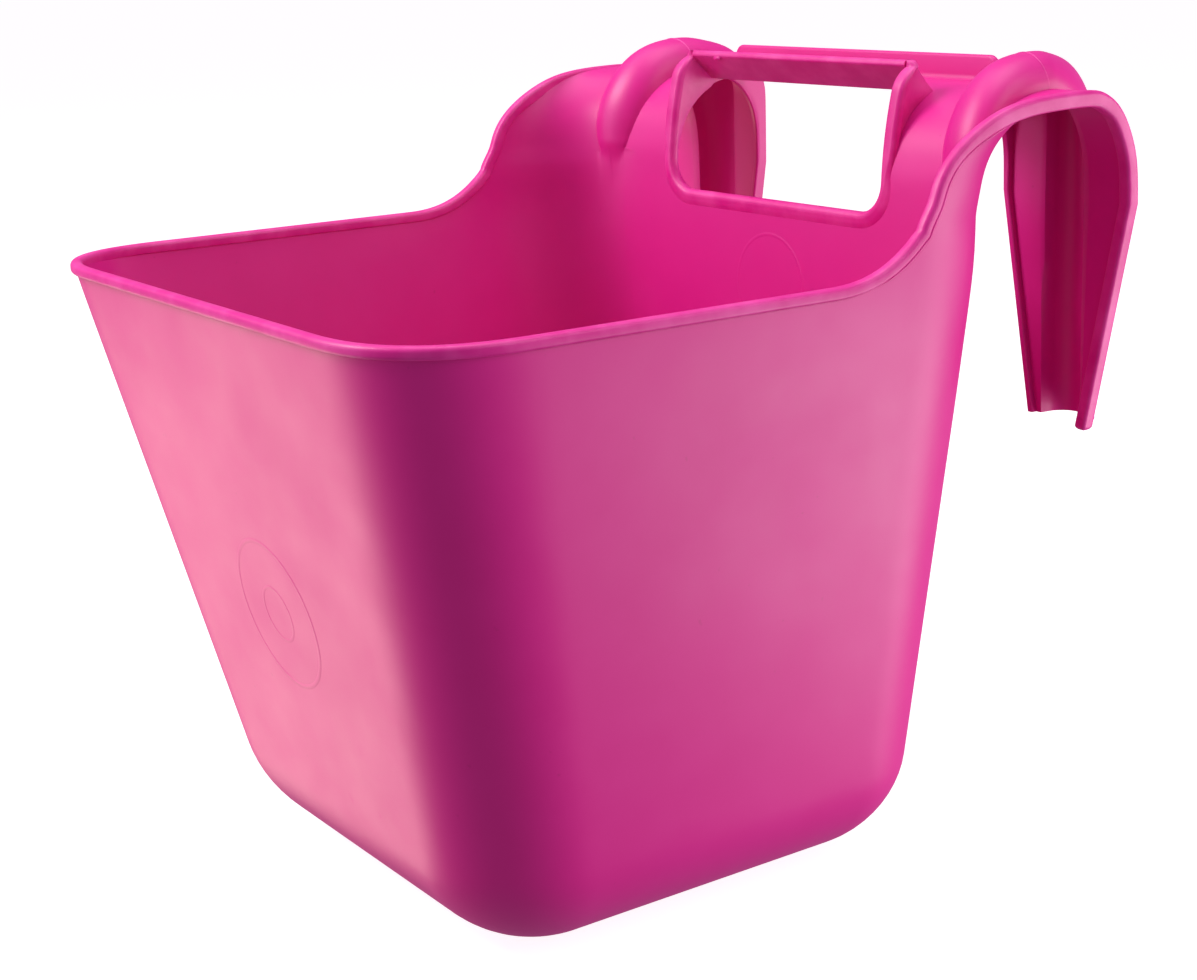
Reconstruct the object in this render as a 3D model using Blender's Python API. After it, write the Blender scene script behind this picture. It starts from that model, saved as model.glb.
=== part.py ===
"""Feed bucket that hooks over a rail.

The bucket is one moulding.  It is built here as named regions of that
moulding, each a closed solid, with a hairline gap between neighbours.
Frame: X across, -Y the front wall, +Y the hooks, +Z up, origin in the middle
of the underside.  Every formula below works in millimetres.
"""
import math

import bmesh
import bpy
import numpy as np
from mathutils import Vector

for old in list(bpy.data.objects):
    bpy.data.objects.remove(old, do_unlink=True)

# ---------------------------------------------------------------- dimensions
MM = 0.001
WALL = 3.0              # wall thickness of the moulding
GAP = 0.3               # hairline gap between neighbouring regions

RIM_Z = 252.0           # height of the level part of the rim
BASE_HALF = 107.6       # half width of the walls run down to the floor
RIM_HALF = 150.6        # half width of the side walls above the rim
BASE_FRONT = -108.0
RIM_FRONT = -162.5
BASE_BACK = 108.0
RIM_BACK = 112.0
FRONT_R = (45.0, 56.0)  # vertical corner radius at the floor and at the rim
BACK_R = (45.0, 55.2)
FRONT_POWER = 2.5       # corner shape at the rim: 2 is a circle, more is squarer
BACK_POWER = 2.3
BASE_FILLET = 43.0
SIDE_BEND = 12.0        # how softly the leaning sides turn upright at the rim
RISE_FRONT = 15.4       # where the side rims leave the level and start to climb

SHOULDER_Z = 268.5      # where the back starts to lean over the rail
CREST_Z = 312.0         # top of the sheet that lies on the rail
RIB_X = 114.0           # centre of each half-round rib
RIB_R = 14.0
HOOK_EDGE = 80.5        # inner edge of each leg, at its top
TIP_EDGE = 97.0         # inner edge of each leg, at its tip
TIP_IN = 19.5           # how far the outer edge tapers in by the tip
KNEE_Z = 267.5          # where the legs start to taper
LEAD_IN = 8.0           # run of the back wall below the first station, per step
TIP_Z = 177.0

GRIP_HALF = 69.5        # the grip opening, inside its lip
GRIP_LOW = 262.0
GRIP_HIGH = 318.4
GRIP_R = 13.0
GRIP_FACE = 108.2       # front of the opening's lip at its lower edge
GRIP_LEAN = 6.3         # how far the lip leans back by the start of its top bend
GRIP_RISE = 51.0        # height over which it leans
GRIP_CURVE = 2.2        # how the lean gathers with height
GRIP_TURN_Z = 311.0     # where the sides of the lip start to round back
GRIP_ROUND = 10.0       # radius of that bend
LIP = 4.2               # width of the lip round the opening
LIP_COVER = 0.9         # how far the rim lip reaches in past the wall
BRIDGE_FRONT = 134.0
BRIDGE_BACK = 161.3
BRIDGE_STEP = 152.4     # where the bar widens to meet the hooks
UPSTAND_HALF = 84.0
UPSTAND_TOP = 322.5
UPSTAND_R = 4.0

LIP_OUT = 1.2           # the edge lip stands out past the wall
LIP_UP = 0.6            # and above its edge
LIP_ROUND = 0.9
RIM_LIP_DEPTH = 3.9     # the lip's height along the level rim
SIDE_LIP_DEPTH = 5.5    # and where it climbs over the rail

# Curves over the rail, as (y, z) stations from the shoulder over to the knee.
EDGE_LINE = [(56.4, 268.5), (61.0, 276.5), (63.6, 282.5), (66.8, 288.5),
             (72.0, 294.3), (79.0, 299.6), (87.5, 304.3), (97.5, 308.2),
             (110.5, 310.8), (127.0, 311.9), (141.5, 312.0), (149.0, 310.7),
             (155.6, 306.8), (161.2, 300.2), (165.6, 291.2), (168.1, 281.0),
             (169.0, KNEE_Z)]
MIDDLE_LINE = [(109.3, 268.5), (109.6, 276.5), (110.6, 282.5), (112.4, 288.5),
               (115.2, 294.3), (119.2, 299.6), (124.4, 304.3), (130.8, 308.2),
               (138.0, 310.7), (145.5, 311.9), (152.0, 312.0), (158.5, 312.0),
               (165.0, 311.4), (169.8, 308.6), (172.4, 303.0), (173.0, 292.0),
               (173.0, KNEE_Z)]
RIB_LINE = [(105.0, 268.5), (104.8, 276.5), (104.8, 283.5), (105.4, 291.5),
            (107.4, 298.9), (111.0, 306.2), (116.2, 313.2), (123.4, 319.4),
            (132.4, 323.6), (142.0, 325.4), (150.5, 325.7), (159.5, 324.6),
            (168.6, 320.6), (176.8, 313.8), (183.0, 304.2), (186.4, 291.2),
            (187.0, KNEE_Z)]
# Inner edge of the hook's side flange, from the arch top round to the knee.
FLANGE_LINE = [(152.5, 307.0), (157.3, 304.0), (161.2, 299.6), (164.6, 294.0),
               (166.6, 287.5), (167.5, 279.0), (167.5, KNEE_Z)]
KNEE = len(EDGE_LINE) - 1
TIP = KNEE + 1
ARCH_TOP = 10


# ------------------------------------------------------------------- helpers
def lerp(a, b, s):
    return a + (b - a) * s


def ease(s):
    s = min(1.0, max(0.0, s))
    return s * s * (3.0 - 2.0 * s)


def along(knots, t):
    """Smooth curve through the stations; beyond the knee it is the straight leg."""
    last = len(knots) - 1
    if t >= last:
        y, z = knots[last]
        return y, lerp(z, TIP_Z, t - last)
    if t <= 0.0:
        y, z = knots[0]
        return y, z + LEAD_IN * t
    k = min(int(t), last - 1)
    s = t - k
    before = knots[max(k - 1, 0)]
    a = knots[k]
    b = knots[k + 1]
    after = knots[min(k + 2, last)]
    out = []
    for i in (0, 1):
        m0 = 0.5 * (b[i] - before[i])
        m1 = 0.5 * (after[i] - a[i])
        h0 = 2 * s ** 3 - 3 * s ** 2 + 1
        h1 = s ** 3 - 2 * s ** 2 + s
        h2 = -2 * s ** 3 + 3 * s ** 2
        h3 = s ** 3 - s ** 2
        out.append(h0 * a[i] + h1 * m0 + h2 * b[i] + h3 * m1)
    return out[0], out[1]


def half_width(z):
    """The sides lean out up to the rim and stand upright above it."""
    q = RIM_Z - z
    slope = (RIM_HALF - BASE_HALF) / RIM_Z
    return RIM_HALF - slope * 0.5 * (q + math.hypot(q, SIDE_BEND))


def section(z):
    s = z / RIM_Z
    return (half_width(z), lerp(BASE_FRONT, RIM_FRONT, s), lerp(BASE_BACK, RIM_BACK, s),
            lerp(FRONT_R[0], FRONT_R[1], s), lerp(BACK_R[0], BACK_R[1], s))


def round_corner(degrees, z, rim_power):
    """Unit corner: a circle at the floor, a little squarer towards the rim."""
    power = 2.0 / lerp(2.0, rim_power, min(1.0, z / RIM_Z))
    t = math.radians(abs(degrees))
    c = max(math.cos(t), 0.0) ** power
    s = max(math.sin(t), 0.0) ** power
    return c, math.copysign(s, degrees)


def plan(column, z, inset):
    """A point of the tub's outline at height z, moved in by inset."""
    kind, v = column
    a, yf, yb, rf, rb = section(z)
    if kind == "front":
        return (v * (a - rf), yf + inset, z)
    if kind == "front_corner":
        r = max(rf - inset, 2.0)
        c, t = round_corner(v, z, FRONT_POWER)
        return (a - rf + r * c, yf + rf + r * t, z)
    if kind == "side":
        return (a - inset, lerp(yf + rf, yb - rb, v), z)
    if kind == "back_corner":
        r = max(rb - inset, 2.0)
        c, t = round_corner(v, z, BACK_POWER)
        return (a - rb + r * c, yb - rb + r * t, z)
    return ((1.0 - v) * (a - rb), yb - inset, z)


def outward(column):
    """Level direction straight out of the rim."""
    kind, v = column
    if kind == "front":
        return (0.0, -1.0)
    if kind in ("front_corner", "back_corner"):
        power = FRONT_POWER if kind == "front_corner" else BACK_POWER
        c, t = round_corner(v, RIM_Z, power)
        nx, ny = c ** (power - 1.0), math.copysign(abs(t) ** (power - 1.0), t)
        size = math.hypot(nx, ny)
        return (nx / size, ny / size)
    if kind == "side":
        return (1.0, 0.0)
    return (0.0, 1.0)


def rim_height(y):
    """Level rim, rising in a curve to the shoulder at the back of each side."""
    u = (y - RISE_FRONT) / (EDGE_LINE[0][0] - RISE_FRONT)
    if u <= 0.0:
        return RIM_Z
    return RIM_Z + (SHOULDER_Z - RIM_Z) * 0.5 * (u * u + u ** 3)


def steps(a, b, n):
    return [lerp(a, b, i / n) for i in range(n + 1)]


# -------------------------------------------------------------- mesh builders
def new_object(name, mesh_bm, colour, bevel=0.0):
    bmesh.ops.remove_doubles(mesh_bm, verts=mesh_bm.verts, dist=0.00002)
    bmesh.ops.recalc_face_normals(mesh_bm, faces=mesh_bm.faces)
    mesh = bpy.data.meshes.new(name)
    mesh_bm.to_mesh(mesh)
    mesh_bm.free()
    ob = bpy.data.objects.new(name, mesh)
    bpy.context.scene.collection.objects.link(ob)
    mat = bpy.data.materials.new(name + "_plastic")
    mat.use_nodes = True
    shader = mat.node_tree.nodes["Principled BSDF"]
    shader.inputs["Base Color"].default_value = colour
    shader.inputs["Roughness"].default_value = 0.42
    mesh.materials.append(mat)
    if bevel > 0.0:
        mod = ob.modifiers.new("edges", "BEVEL")
        mod.width = bevel
        mod.segments = 2
        mod.limit_method = "ANGLE"
        mod.angle_limit = math.radians(50)
    return ob


def cutter(name, mesh_bm):
    bmesh.ops.recalc_face_normals(mesh_bm, faces=mesh_bm.faces)
    mesh = bpy.data.meshes.new(name)
    mesh_bm.to_mesh(mesh)
    mesh_bm.free()
    ob = bpy.data.objects.new(name, mesh)
    bpy.context.scene.collection.objects.link(ob)
    ob.hide_render = True
    ob.display_type = "WIRE"
    return ob


def cut(target, tool):
    mod = target.modifiers.new("cut_" + tool.name, "BOOLEAN")
    mod.operation = "DIFFERENCE"
    mod.solver = "EXACT"
    mod.object = tool


def add_grid(bm, grid):
    """Quads through a grid of points, returned as rows of vertices."""
    verts = []
    for line in grid:
        verts.append([bm.verts.new(Vector(p) * MM) for p in line])
    for i in range(len(verts) - 1):
        for j in range(len(verts[0]) - 1):
            bm.faces.new((verts[i][j], verts[i + 1][j], verts[i + 1][j + 1], verts[i][j + 1]))
    return verts


def strip(bm, a, b):
    for i in range(len(a) - 1):
        bm.faces.new((a[i], a[i + 1], b[i + 1], b[i]))


def shell(outer, inner):
    """Closed solid between two grids of the same size."""
    bm = bmesh.new()
    a = add_grid(bm, outer)
    b = add_grid(bm, inner)
    strip(bm, a[0], b[0])
    strip(bm, a[-1], b[-1])
    strip(bm, [line[0] for line in a], [line[0] for line in b])
    strip(bm, [line[-1] for line in a], [line[-1] for line in b])
    return bm


def sweep(loops, closed=False, cap=None):
    """Closed solid through a run of loops with the same number of points."""
    bm = bmesh.new()
    rings = []
    for loop in loops:
        rings.append([bm.verts.new(Vector(p) * MM) for p in loop])
    pairs = list(zip(rings[:-1], rings[1:]))
    if closed:
        pairs.append((rings[-1], rings[0]))
    n = len(rings[0])
    for a, b in pairs:
        for i in range(n):
            bm.faces.new((a[i], a[(i + 1) % n], b[(i + 1) % n], b[i]))
    if cap is not None:
        for ring in (rings[0], rings[-1]):
            cap(bm, ring)
    elif not closed:
        bm.faces.new(rings[0])
        bm.faces.new(rings[-1])
    return bm


def prism(outline, axis, low, high):
    """Extrude a closed outline of pairs along one axis."""
    def lift(p, c):
        if axis == "y":
            return (p[0], c, p[1])
        if axis == "z":
            return (p[0], p[1], c)
        return (c, p[0], p[1])
    return sweep([[lift(p, low) for p in outline], [lift(p, high) for p in outline]])


def mirrored(grid):
    return [[(-p[0], p[1], p[2]) for p in line] for line in grid]


# ------------------------------------------------------------------- the tub
def tub_base():
    """Floor with the large fillet that turns up into the walls."""
    half = columns_all()
    loop = half + [(k, v, -1) for k, v, _ in reversed(half[1:-1])]

    def place(col, z, inset):
        x, y, zz = plan(col[:2], z, inset)
        return (x * col[2], y, zz)

    def level(z_edge, floor_z, radius, extra):
        rows = []
        for deg in (0, 15, 30, 45, 60, 75, 90):
            t = math.radians(deg)
            z = floor_z + (z_edge - floor_z) * (1 - math.sin(t))
            rows.append([place(c, z, extra + radius * (1 - math.cos(t))) for c in loop])
        return rows

    top = BASE_FILLET
    outer = level(top, 0.0, BASE_FILLET, 0.0)
    inner = level(top, WALL, BASE_FILLET - WALL, WALL)
    bm = bmesh.new()
    rings = []
    for rows in (outer, inner):
        made = []
        for row in rows:
            made.append([bm.verts.new(Vector(p) * MM) for p in row])
        for a, b in zip(made[:-1], made[1:]):
            n = len(a)
            for i in range(n):
                bm.faces.new((a[i], a[(i + 1) % n], b[(i + 1) % n], b[i]))
        bm.faces.new(made[-1])
        rings.append(made[0])
    a, b = rings
    for i in range(len(a)):
        bm.faces.new((a[i], a[(i + 1) % len(a)], b[(i + 1) % len(a)], b[i]))
    bmesh.ops.triangulate(bm, faces=[f for f in bm.faces if len(f.verts) > 4])
    return new_object("tub_base", bm, (0.60, 0.02, 0.25, 1))


def columns_all():
    cols = [("front", v, 1) for v in steps(0, 1, 2)]
    cols += [("front_corner", v, 1) for v in steps(-90, 0, 7)[1:]]
    cols += [("side", v, 1) for v in steps(0, 1, 3)[1:]]
    cols += [("back_corner", v, 1) for v in steps(0, 90, 7)[1:]]
    cols += [("back", v, 1) for v in steps(0, 1, 2)[1:]]
    return cols


def wall_grids(cols, tops, rows, sign=1):
    low = BASE_FILLET + GAP
    outer = []
    inner = []
    for col, top in zip(cols, tops):
        zs = [lerp(low, top, s) for s in rows]
        pair = []
        for inset in (0.0, WALL):
            line = [plan(col, z, inset) for z in zs]
            pair.append([(p[0] * sign, p[1], p[2]) for p in line])
        outer.append(pair[0])
        inner.append(pair[1])
    return outer, inner


def front_wall():
    half = [("front_corner", v) for v in steps(0, -90, 8)] + [("front", 0.5), ("front", 0.0)]
    half[0] = ("front_corner", -0.15)
    tops = [RIM_Z + 0.2] * len(half)
    rows = steps(0, 1, 4)
    right = wall_grids(half, tops, rows, 1)
    left = wall_grids(half[:-1], tops[:-1], rows, -1)
    outer = right[0] + left[0][::-1]
    inner = right[1] + left[1][::-1]
    return new_object("front_wall", shell(outer, inner), (0.95, 0.10, 0.35, 1))


def side_wall(name, sign):
    cols = [("side", v) for v in (0.002, 0.25, 0.5, 0.7, 0.78, 0.85, 0.91, 0.96, 0.998)]
    tops = []
    for col in cols:
        y = plan(col, RIM_Z + 4.0, 0.0)[1]
        tops.append(rim_height(y) + 0.2)
    outer, inner = wall_grids(cols, tops, steps(0, 1, 5), sign)
    return new_object(name, shell(outer, inner), (0.85, 0.05, 0.32, 1))


def back_wall():
    half = [("back_corner", v) for v in steps(0, 90, 9)] + [("back", v) for v in (0.35, 0.7, 1.0)]
    half[0] = ("back_corner", 0.15)
    tops = [SHOULDER_Z - GAP] * len(half)
    rows = [0, 0.3, 0.6, 0.8, 0.9, 1.0]
    right = wall_grids(half, tops, rows, 1)
    left = wall_grids(half[:-1], tops[:-1], rows, -1)
    outer = right[0] + left[0][::-1]
    inner = right[1] + left[1][::-1]
    return new_object("back_wall", shell(outer, inner), (0.62, 0.02, 0.28, 1))


# ------------------------------------------------- the sheet over the rail
def edge_half(t):
    """Where the sheet's outer edge runs, as a half width."""
    taper = TIP_IN * max(0.0, t - KNEE)
    return RIM_HALF - WALL - taper


def corner_share(x, t):
    """How far the sheet has moved from the side line (0) to the middle line (1)."""
    rc = section(SHOULDER_Z)[4] - WALL
    xc = RIM_HALF - WALL - rc
    u = (abs(x) - xc) / rc
    near = max(0.0, 1.0 - u ** BACK_POWER) ** (1.0 / BACK_POWER) if u > 0.0 else 1.0
    far = ease((RIB_X + RIB_R - abs(x)) / (2.0 * RIB_R))
    return lerp(near, far, ease((t - 9.0) / 2.0))


def sheet_point(x, t):
    ey, ez = along(EDGE_LINE, t)
    my, mz = along(MIDDLE_LINE, t)
    s = corner_share(x, t)
    return (x, lerp(ey, my, s), lerp(ez, mz, s))


def rib_shape(t):
    """Vector from the sheet to the rib's crest, and the rib's half angle."""
    base = sheet_point(RIB_X, t)
    ry, rz = along(RIB_LINE, t)
    dy = ry - base[1]
    dz = rz - base[2]
    height = math.hypot(dy, dz)
    size = max(height, 1e-6)
    unit = (dy / size, dz / size)
    if t < 0.4:
        height = 0.0
    return min(height, RIB_R - 0.4), unit


def rib_offset(s, height):
    """Offset across (s runs -1 to 1) and rise above the sheet."""
    alpha = math.acos(1.0 - height / RIB_R) if height > 0 else 0.0
    reach = max(RIB_R * math.sin(alpha), 6.0)
    dx = reach * (math.sin(alpha * s) / math.sin(alpha) if alpha > 0.02 else s)
    rise = 0.0
    if height > 0 and abs(dx) < RIB_R:
        rise = max(0.0, height - (RIB_R - math.sqrt(RIB_R ** 2 - dx * dx)))
    if abs(s) > 0.999:
        rise = 0.0
    return dx, rise


def sheet_row(t, inner_x, n_out, n_rib, n_in, trim=0.0):
    """Points across the sheet, from the outer edge over the rib to inner_x."""
    height, unit = rib_shape(t)
    reach = rib_offset(1.0, height)[0]
    edge = edge_half(t) - trim
    row = []
    for s in steps(0, 1, n_out)[:-1]:
        x = lerp(edge, RIB_X + reach, s ** 1.3)
        row.append(sheet_point(x, t))
    for s in steps(1, -1, n_rib):
        dx, rise = rib_offset(s, height)
        p = sheet_point(RIB_X + dx, t)
        row.append((p[0], p[1] + unit[0] * rise, p[2] + unit[1] * rise))
    for s in steps(0, 1, n_in)[1:]:
        x = lerp(RIB_X - reach, inner_x, s)
        row.append(sheet_point(x, t))
    return row


def offset_grid(grid, distance):
    """Second face of the sheet, moved along the surface normal."""
    g = np.array(grid, dtype=float)
    du = np.gradient(g, axis=0)
    dv = np.gradient(g, axis=1)
    n = np.cross(dv, du)
    n /= np.linalg.norm(n, axis=2, keepdims=True) + 1e-12
    return g + n * distance


def saddle(name, sign):
    ts = [-1.0, -0.5, 0.05] + [0.5 * k for k in range(1, 20)]
    ts += [ARCH_TOP - 0.03, ARCH_TOP + 0.5, ARCH_TOP + 1]
    grid = [sheet_row(t, 71.0, 6, 10, 4) for t in ts]
    back = offset_grid(grid, WALL)
    front = np.array(grid)[2:-2]
    back = back[2:-2]
    front[..., 0] *= sign
    back[..., 0] *= sign
    return new_object(name, shell(front.tolist(), back.tolist()), (0.90, 0.08, 0.42, 1))


def hook(name, sign):
    ts = [ARCH_TOP - 1, ARCH_TOP - 0.5, ARCH_TOP + 0.03]
    ts += [ARCH_TOP + 0.04 + 0.497 * k for k in range(1, 13)] + [KNEE + 0.5, TIP - 0.03]
    grid = []
    inner = []
    for t in ts:
        x_in = lerp(HOOK_EDGE, TIP_EDGE, max(0.0, t - KNEE))
        inner.append(x_in)
        grid.append(sheet_row(t, x_in, 5, 10, 3, LIP_COVER + GAP))
    under = offset_grid(grid, WALL)
    under[:, 0, 0] = np.array(grid)[:, 0, 0]
    for row, x_in in zip(under, inner):
        for j in (1, 2, 3):
            row[j - 4] = (lerp(row[-4][0], x_in + WALL, j / 3), row[-1][1], row[-1][2])
    loops = []
    for i, t in enumerate(ts[2:], start=2):
        top = [tuple(p) for p in grid[i]]
        low = [tuple(p) for p in under[i]]
        x_in = inner[i]
        fy, fz = along(FLANGE_LINE, t - ARCH_TOP)
        lip = [(x_in, fy, fz), (x_in + WALL, fy, fz)]
        loop = top + lip + low[::-1]
        loops.append([(p[0] * sign, p[1], p[2]) for p in loop])
    return new_object(name, sweep(loops, cap=hook_cap), (0.80, 0.05, 0.36, 1))


def hook_cap(bm, ring):
    """End face of a hook: the sheet's thickness, then the flange's."""
    n = (len(ring) - 2) // 2
    top = ring[:n]
    lip = ring[n:n + 2]
    low = ring[n + 2:][::-1]
    strip(bm, top, low)
    bm.faces.new((top[-1], lip[0], lip[1], low[-1]))


# ---------------------------------------------------------------- edge beads
def bead_loop(centre, across, inward, depth, grow=0.0):
    """Rounded rectangle that caps the sheet's edge."""
    cx, cy, cz = centre
    over = LIP_OUT + grow
    inside = WALL + LIP_COVER + grow
    top = -LIP_UP - grow
    low = depth + grow
    r = LIP_ROUND
    pts = [(-inside, low), (-inside, top + r), (-inside + r, top), (over - r, top),
           (over, top + r), (over, low - 0.5), (over - 0.5, low)]
    out = []
    for u, d in pts:
        out.append((cx + across[0] * u + inward[0] * d,
                    cy + across[1] * u + inward[1] * d,
                    cz + across[2] * u + inward[2] * d))
    return out


def bead_depth(t):
    return lerp(RIM_LIP_DEPTH, SIDE_LIP_DEPTH, ease((t - 3.5) / 4.0))


def rim_stations():
    """Stations round the level rim, right side first, then the front, then the left."""
    half = [("side", v) for v in (0.74, 0.5, 0.25, 0.002)]
    half += [("front_corner", v) for v in steps(0, -90, 9)[1:]] + [("front", 0.5)]
    right = []
    for col in half:
        p = plan(col, RIM_Z, 0.0)
        n = outward(col)
        right.append((p, (n[0], n[1], 0.0)))
    middle = [(plan(("front", 0.0), RIM_Z, 0.0), (0.0, -1.0, 0.0))]
    left = [((-p[0], p[1], p[2]), (-n[0], n[1], 0.0)) for p, n in reversed(right)]
    return right + middle + left


def rim_lip(grow=0.0):
    loops = []
    for p, n in rim_stations():
        loops.append(bead_loop(p, n, (0.0, 0.0, -1.0), RIM_LIP_DEPTH, grow))
    return sweep(loops)


def edge_stations():
    """Stations from the level rim up the side, over the rail and down to the tip."""
    pts = []
    a = plan(("side", 0.742), RIM_Z, 0.0)[1]
    for y in steps(a, EDGE_LINE[0][0], 9)[:-1]:
        z = rim_height(y)
        pts.append((half_width(z), y, z, 0.0))
    for t in [0.0] + [0.5 * k for k in range(1, 2 * KNEE + 1)] + [KNEE + 0.5, TIP]:
        y, z = along(EDGE_LINE, t)
        pts.append((edge_half(t) + WALL, y, z, t))
    return pts


def edge_bead(sign, grow=0.0):
    pts = edge_stations()
    if grow > 0.0:
        x, y, z, t = pts[0]
        pts.insert(0, (x, y - 3.0, z, t))
        t = TIP + 0.05
        y, z = along(EDGE_LINE, t)
        pts.append((edge_half(t) + WALL, y, z, t))
    loops = []
    for i, (x, y, z, t) in enumerate(pts):
        a = pts[max(i - 1, 0)]
        b = pts[min(i + 1, len(pts) - 1)]
        ty, tz = b[1] - a[1], b[2] - a[2]
        size = math.hypot(ty, tz)
        ty, tz = ty / size, tz / size
        c = (x * sign, y, z)
        loops.append(bead_loop(c, (sign, 0.0, 0.0), (0.0, tz, -ty), bead_depth(t), grow))
    return sweep(loops)


# ----------------------------------------------------------------- the grip
def grip_path():
    """Stations round the opening: (x, z, outward x, outward z, share of the top)."""
    h = GRIP_HALF - GRIP_R
    z0 = GRIP_LOW + GRIP_R
    z1 = GRIP_HIGH - GRIP_R
    pts = []
    corners = [(h, z0, -90), (h, z1, 0), (-h, z1, 90), (-h, z0, 180)]
    for cx, cz, start in corners:
        for deg in steps(start, start + 90, 6):
            t = math.radians(deg)
            nx, nz = math.cos(t), math.sin(t)
            pts.append((cx + GRIP_R * nx, cz + GRIP_R * nz, nx, nz))
        if start == 0:
            pts += [(x, GRIP_HIGH, 0.0, 1.0) for x in (28.0, 0.0, -28.0)]
        if start == 90:
            pts += [(-GRIP_HALF, z, -1.0, 0.0) for z in (300.0, 292.0, 284.0)]
        if start == 180:
            pts += [(x, GRIP_LOW, 0.0, -1.0) for x in (-28.0, 0.0, 28.0)]
        if start == -90:
            pts += [(GRIP_HALF, z, 1.0, 0.0) for z in (284.0, 292.0, 300.0)]
    out = []
    for x, z, nx, nz in pts:
        top = ease(nz) if z > 290.0 else 0.0
        out.append((x, z, nx, nz, top))
    return out


def lip_front(z):
    """Front of the lip: it leans back with height, then rounds over into the top bar."""
    lean = GRIP_LEAN * max(0.0, (z - GRIP_LOW) / GRIP_RISE) ** GRIP_CURVE
    over = min(max(z - GRIP_TURN_Z, 0.0), GRIP_ROUND)
    return GRIP_FACE + lean + GRIP_ROUND - math.sqrt(GRIP_ROUND ** 2 - over ** 2)


def back_face_at(z):
    """Depth of the moulding's rear face at height z, behind the opening's sides."""
    best = 112.6
    for k in range(0, 91):
        t = k / 10.0
        a = along(MIDDLE_LINE, t - 0.02)
        b = along(MIDDLE_LINE, t + 0.02)
        ty, tz = b[0] - a[0], b[1] - a[1]
        size = math.hypot(ty, tz)
        y, zz = along(MIDDLE_LINE, t)
        y += WALL * tz / size
        zz -= WALL * ty / size
        if zz <= z:
            best = max(best, y)
    return min(best, BRIDGE_FRONT)


def grip_frame():
    loops = []
    for x, z, nx, nz, top in grip_path():
        yl = lip_front(z)
        yb = lerp(back_face_at(z), BRIDGE_FRONT, top)
        in_back = lerp(1.0, -(GRIP_HIGH - (CREST_Z - WALL)), top)
        out_back = lerp(LIP, -(GRIP_HIGH - CREST_Z), top)
        pts = [(0.0, yl + 3.0), (0.0, yl + 1.0), (0.9, yl), (LIP - 0.9, yl), (LIP, yl + 1.0),
               (LIP, yl + 3.4), (out_back, yb), (in_back, yb), (1.0, yl + 3.4)]
        loops.append([(x + nx * r, y, z + nz * r) for r, y in pts])
    return new_object("grip_frame", sweep(loops, closed=True), (0.98, 0.20, 0.52, 1))


def grip_bridge():
    """The flat bar between the hooks, just behind the opening."""
    a = GRIP_HALF + LIP - 0.1
    b = HOOK_EDGE - GAP
    mid = BRIDGE_STEP
    y0 = BRIDGE_FRONT + GAP
    h = GRIP_HALF - GRIP_R
    outline = [(-h, y0), (h, y0), (a, y0 + 2.0), (a, mid), (b, mid), (b, BRIDGE_BACK),
               (-b, BRIDGE_BACK), (-b, mid), (-a, mid), (-a, y0 + 2.0)]
    bm = prism(outline, "z", CREST_Z - WALL, CREST_Z)
    return new_object("grip_bridge", bm, (0.88, 0.12, 0.45, 1), bevel=0.0)


def rear_upstand():
    """Upright edge along the back of the bar, rounded at both ends."""
    low = CREST_Z + GAP
    r = UPSTAND_R
    outline = [(-UPSTAND_HALF, low), (UPSTAND_HALF, low)]
    for deg in steps(0, 90, 5):
        t = math.radians(deg)
        outline.append((UPSTAND_HALF - r + r * math.cos(t), UPSTAND_TOP - r + r * math.sin(t)))
    for deg in steps(90, 180, 5):
        t = math.radians(deg)
        outline.append((-UPSTAND_HALF + r + r * math.cos(t), UPSTAND_TOP - r + r * math.sin(t)))
    bm = prism(outline, "y", BRIDGE_BACK - WALL, BRIDGE_BACK)
    return new_object("rear_upstand", bm, (0.80, 0.10, 0.42, 1), bevel=0.0008)


def grip_cutter():
    """Clearance for the grip frame through the back wall and the saddles."""
    grow = LIP + GAP
    h = GRIP_HALF + grow
    r = GRIP_R + grow
    low = GRIP_LOW - grow
    outline = []
    for deg in steps(-90, 0, 8):
        t = math.radians(deg)
        outline.append((h - r + r * math.cos(t), low + r + r * math.sin(t)))
    outline += [(h, 340.0), (-h, 340.0)]
    for deg in steps(180, 270, 8):
        t = math.radians(deg)
        outline.append((-h + r + r * math.cos(t), low + r + r * math.sin(t)))
    return cutter("grip_clearance", prism(outline, "y", 90.0, 190.0))


# ------------------------------------------------------------------ assembly
def build():
    tub_base()
    front = front_wall()
    left = side_wall("left_wall", -1)
    right = side_wall("right_wall", 1)
    back = back_wall()
    saddle_r = saddle("right_saddle", 1)
    saddle_l = saddle("left_saddle", -1)
    hook("right_hook", 1)
    hook("left_hook", -1)
    new_object("rim_lip", rim_lip(), (1.0, 0.30, 0.60, 1))
    new_object("right_edge_lip", edge_bead(1), (1.0, 0.30, 0.60, 1))
    new_object("left_edge_lip", edge_bead(-1), (1.0, 0.30, 0.60, 1))
    grip_frame()
    grip_bridge()
    rear_upstand()

    rim_tool = cutter("rim_clearance", rim_lip(GAP))
    right_tool = cutter("right_clearance", edge_bead(1, GAP))
    left_tool = cutter("left_clearance", edge_bead(-1, GAP))
    grip_tool = grip_cutter()
    cut(front, rim_tool)
    for wall, tool in ((left, left_tool), (right, right_tool)):
        cut(wall, rim_tool)
        cut(wall, tool)
    cut(back, grip_tool)
    cut(back, right_tool)
    cut(back, left_tool)
    for part, tool in ((saddle_r, right_tool), (saddle_l, left_tool)):
        cut(part, grip_tool)
        cut(part, tool)
    for part in (front, left, right, back, saddle_r, saddle_l):
        weld = part.modifiers.new("weld", "WELD")
        weld.merge_threshold = 0.0001


build()
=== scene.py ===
import math

import bmesh
import bpy
import numpy as np
from mathutils import Matrix, Vector


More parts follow.
